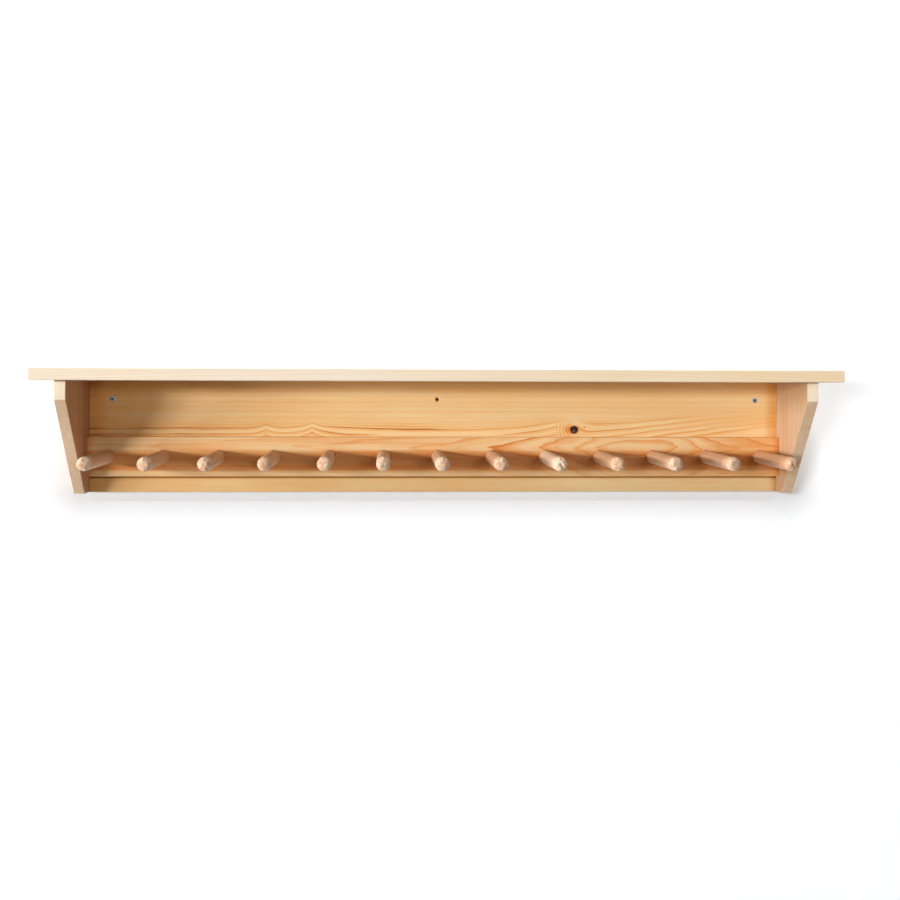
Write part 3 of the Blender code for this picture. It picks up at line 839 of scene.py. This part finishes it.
def zinc_material(face_level):
    """Zinc plate on steel: blue-grey clouds, fine scratches, and a near-black colour down in the cross
    recess."""
    material, tree, shader = new_material("zinc_plate")
    x, y, z = taken_apart(tree, object_place(tree))
    cloud = speckle(tree, x * 420.0, y * 420.0, z * 420.0, detail=3.0)
    scratch = speckle(tree, x * 500.0 + z * 300.0, y * 900.0, z * 5200.0, detail=1.0)
    plate = mixed(tree, (cloud * 1.6 + 0.5).most(0.0).least(1.0), ZINC_DARK, ZINC_PALE)
    sunk = (y - face_level).rise(0.0003, 0.0011) * (y - face_level).rise(0.0050, 0.0030)
    feed(tree, shader.inputs["Base Color"], mixed(tree, sunk * 0.85, plate, RECESS_DARK))
    feed(tree, shader.inputs["Roughness"], cloud * 0.25 + scratch * 0.2 + sunk * 0.3 + 0.36)
    shader.inputs["Metallic"].default_value = 1.0
    raise_surface(tree, shader, scratch + cloud, strength=0.2, distance=0.00005)
    return material


zinc = zinc_material(back_low.y)
for name, turned_by in (("wall_screw_left", 0.35), ("wall_screw_right", 1.1)):
    points = screw_surface(*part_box(name), turned_by)
    rows = (len(points) - 2) // SCREW_SIDES
    ring = np.arange(SCREW_SIDES)
    faces = grid_faces(rows, SCREW_SIDES).tolist()
    faces += fan_faces(ring[::-1], rows * SCREW_SIDES).tolist()
    faces += fan_faces(ring + (rows - 1) * SCREW_SIDES, rows * SCREW_SIDES + 1).tolist()
    piece = new_piece("threaded_" + name, points, faces, zinc)
    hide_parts(name)


# Studio: a white wall behind the rack and a white floor far below it. The wall is open where the rack
# covers it, so that light from behind reaches the rack's back, and from behind it is see-through. A brown
# disc in the opening, seen through the empty fixing hole, is painted shade for the hole's dark inside.
WALL_HALF, WALL_TOP, FLOOR_LEVEL, FLOOR_FRONT, WALL_GAP, INSET = 4.0, 3.0, -1.25, -5.0, 0.0004, 0.0012
STUDIO_WHITE, HOLE_SHADE_BROWN = (0.847, 0.862, 0.882, 1.0), chart(150, 84, 56)
WALL_GLOW, FLOOR_GLOW = 0.29, 0.9
HOLE_HEIGHT, HOLE_RADIUS, HOLE_SIDES = 0.062, 0.004, 24


def studio_material(name, colour, glow):
    """A matt colour that is a little brighter to the camera, and see-through from behind."""
    material, tree, shader = new_material(name)
    shader.inputs["Base Color"].default_value = colour
    shader.inputs["Roughness"].default_value = 0.9
    shader.inputs["Specular IOR Level"].default_value = 0.0
    shader.inputs["Emission Color"].default_value = (1.0, 1.0, 1.0, 1.0)
    light = tree.nodes.new("ShaderNodeLightPath")
    seen = Wire(tree, light.outputs["Is Camera Ray"]).most(Wire(tree, light.outputs["Is Glossy Ray"]))
    seen = seen.most(Wire(tree, light.outputs["Is Transmission Ray"]))
    feed(tree, shader.inputs["Emission Strength"], seen * glow)
    clear = tree.nodes.new("ShaderNodeBsdfTransparent")
    switch = tree.nodes.new("ShaderNodeMixShader")
    tree.links.new(tree.nodes.new("ShaderNodeNewGeometry").outputs["Backfacing"], switch.inputs[0])
    tree.links.new(shader.outputs["BSDF"], switch.inputs[1])
    tree.links.new(clear.outputs["BSDF"], switch.inputs[2])
    tree.links.new(switch.outputs["Shader"], tree.nodes["Material Output"].inputs["Surface"])
    return material


def stage_mesh(name, points, faces, material):
    """A studio surface, which isn't part of the rack."""
    mesh = bpy.data.meshes.new(name)
    mesh.from_pydata(points.tolist(), [], [list(face) for face in faces])
    mesh.materials.append(material)
    surface = bpy.data.objects.new(name, mesh)
    bpy.context.scene.collection.objects.link(surface)
    surface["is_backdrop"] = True
    return surface


bracket_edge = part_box("right_bracket")[1].x
across_lines = np.array([
    -WALL_HALF, shelf_low.x + INSET, -bracket_edge + INSET,
    bracket_edge - INSET, shelf_high.x - INSET, WALL_HALF,
])
up_lines = np.array([FLOOR_LEVEL, back_low.z + INSET, shelf_low.z + INSET, shelf_high.z - INSET, WALL_TOP])
grid_x, grid_z = np.meshgrid(across_lines, up_lines)
wall_points = np.stack([grid_x, np.full_like(grid_x, WALL_GAP), grid_z], axis=-1).reshape(-1, 3)
column, row = np.meshgrid(np.arange(len(across_lines) - 1), np.arange(len(up_lines) - 1))
corner = row * len(across_lines) + column
over = corner + len(across_lines)
wall_faces = np.stack([corner, corner + 1, over + 1, over], axis=-1).reshape(-1, 4)
covered = ((row == 1) & (column == 2)) | ((row == 2) & (column >= 1) & (column <= 3))
white = studio_material("studio_white", STUDIO_WHITE, WALL_GLOW)
studio_wall = stage_mesh("studio_wall", wall_points, wall_faces[~covered.ravel()], white)
turn = np.arange(HOLE_SIDES) / HOLE_SIDES * 2.0 * np.pi
hole_x, hole_z = HOLE_RADIUS * np.cos(turn), HOLE_HEIGHT + HOLE_RADIUS * np.sin(turn)
hole = np.stack([hole_x, np.full(HOLE_SIDES, WALL_GAP), hole_z], axis=-1)
# Painted shade: the brown disc seen through the empty fixing hole.
hole_shade = studio_material("painted_hole_shade", HOLE_SHADE_BROWN, 0.0)
stage_mesh("wall_behind_hole", hole, [range(HOLE_SIDES)], hole_shade)
floor_points = np.array([
    (-WALL_HALF, FLOOR_FRONT, FLOOR_LEVEL), (WALL_HALF, FLOOR_FRONT, FLOOR_LEVEL),
    (WALL_HALF, WALL_GAP, FLOOR_LEVEL), (-WALL_HALF, WALL_GAP, FLOOR_LEVEL),
])
floor_white = studio_material("floor_white", STUDIO_WHITE, FLOOR_GLOW)
stage_mesh("studio_floor", floor_points, [range(4)], floor_white)


# Light: a soft lamp in front and three windows at the left light the rack, one lamp overhead its top and
# one at the right its right end. Two more light only the wall, as a studio lights its backdrop, and give
# it soft shadows. The room itself is an even dim white, and brighter behind the wall.
RACK_MIDDLE, LAMP_FAR = (0.0, -0.1, 0.0), 10.0


def soft_lamp(name, place, wide, tall, power, only, shaded_by=()):
    """A rectangular lamp turned towards the rack's middle. The objects in only receive its light, and
    those in shaded_by throw shadows in it, or all objects where none are named."""
    lamp = bpy.data.lights.new(name, "AREA")
    lamp.shape = "RECTANGLE"
    lamp.size = wide
    lamp.size_y = tall
    lamp.energy = power
    holder = bpy.data.objects.new(name, lamp)
    holder.location = place
    holder.rotation_euler = (Vector(RACK_MIDDLE) - Vector(place)).to_track_quat("-Z", "Y").to_euler()
    holder.visible_camera = False
    bpy.context.scene.collection.objects.link(holder)
    for title, things in (("receiver", only), ("blocker", shaded_by)):
        if things:
            chosen = bpy.data.collections.new(name + "_" + title)
            for thing in things:
                chosen.objects.link(thing)
            setattr(holder.light_linking, title + "_collection", chosen)


def from_bearing(left, up):
    """A far place, seen from the rack's middle so many degrees left of straight ahead and degrees up."""
    left, up = math.radians(left), math.radians(up)
    ahead = LAMP_FAR * math.cos(up)
    place_x, place_y = RACK_MIDDLE[0] - ahead * math.sin(left), RACK_MIDDLE[1] - ahead * math.cos(left)
    return place_x, place_y, LAMP_FAR * math.sin(up)


rack = [thing for thing in bpy.data.objects if thing.type == "MESH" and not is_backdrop(thing)]
right_end = [bpy.data.objects["pine_right_bracket"], shelf]
back_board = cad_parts["back_board"]
soft_lamp("front_lamp", from_bearing(-9, 4.5), 1.4, 1.3, 152.0, only=rack)
soft_lamp("near_window", from_bearing(43, 4.3), 2.4, 0.6, 566.0, only=rack)
soft_lamp("middle_window", from_bearing(64, 0), 2.2, 0.4, 415.0, only=rack)
soft_lamp("far_window", from_bearing(71, 7), 3.2, 0.5, 305.0, only=rack)
soft_lamp("overhead", (-0.2, -0.5, 3.0), 1.5, 1.0, 30.0, only=rack)
soft_lamp("right_side", (4.0, -0.8, 0.4), 2.0, 1.5, 90.0, only=right_end)
soft_lamp(
    "wall_above", from_bearing(0, 46), 2.5, 1.5, 700.0,
    only=[studio_wall], shaded_by=[shelf, back_board],
)
soft_lamp(
    "wall_window", from_bearing(28, 6), 2.4, 1.6, 397.0,
    only=[studio_wall], shaded_by=right_end + [back_board],
)

ROOM_LIGHT, BEHIND_LIGHT = 0.01, 0.75
world = bpy.data.worlds.new("white_room")
world.use_nodes = True
bpy.context.scene.world = world
tree = world.node_tree
path = tree.nodes.new("ShaderNodeLightPath")
seen = Wire(tree, path.outputs["Is Camera Ray"]).most(Wire(tree, path.outputs["Is Glossy Ray"]))
heading = tree.nodes.new("ShaderNodeTexCoord").outputs["Generated"]
behind = taken_apart(tree, heading)[1].rise(0.0, 0.2)
room = behind * (BEHIND_LIGHT - ROOM_LIGHT) + ROOM_LIGHT
feed(tree, tree.nodes["Background"].inputs["Color"], (1.0, 1.0, 1.0, 1.0))
feed(tree, tree.nodes["Background"].inputs["Strength"], room.most(seen))


# Camera: about level with the shelf's underside, a little left of the middle and turned a little right.
# The image is 900 pixels square, and the shift brings the camera's level axis to its row in it.
CAMERA_PLACE, CAMERA_TURN, CAMERA_ROLL = Vector((-0.0889, -2.190, 0.0858)), 0.0505, 0.0031
FOCAL_PIXELS, AXIS_ROW, FRAME_SIDE, SENSOR = 1300.9, 385.4, 900.0, 36.0
ahead = Vector((math.sin(CAMERA_TURN), math.cos(CAMERA_TURN), 0.0))
level_right = Vector((math.cos(CAMERA_TURN), -math.sin(CAMERA_TURN), 0.0))
plumb = Vector((0.0, 0.0, 1.0))
right = level_right * math.cos(CAMERA_ROLL) + plumb * math.sin(CAMERA_ROLL)
up = plumb * math.cos(CAMERA_ROLL) - level_right * math.sin(CAMERA_ROLL)
camera_data = bpy.data.cameras.new("camera")
camera_data.sensor_width = SENSOR
camera_data.lens = FOCAL_PIXELS / FRAME_SIDE * SENSOR
camera_data.shift_y = (AXIS_ROW - FRAME_SIDE / 2.0) / FRAME_SIDE
camera = bpy.data.objects.new("camera", camera_data)
camera.matrix_world = Matrix.Translation(CAMERA_PLACE) @ Matrix((right, up, -ahead)).transposed().to_4x4()
bpy.context.scene.collection.objects.link(camera)
bpy.context.scene.camera = camera
bpy.context.scene.view_settings.view_transform = "Standard"
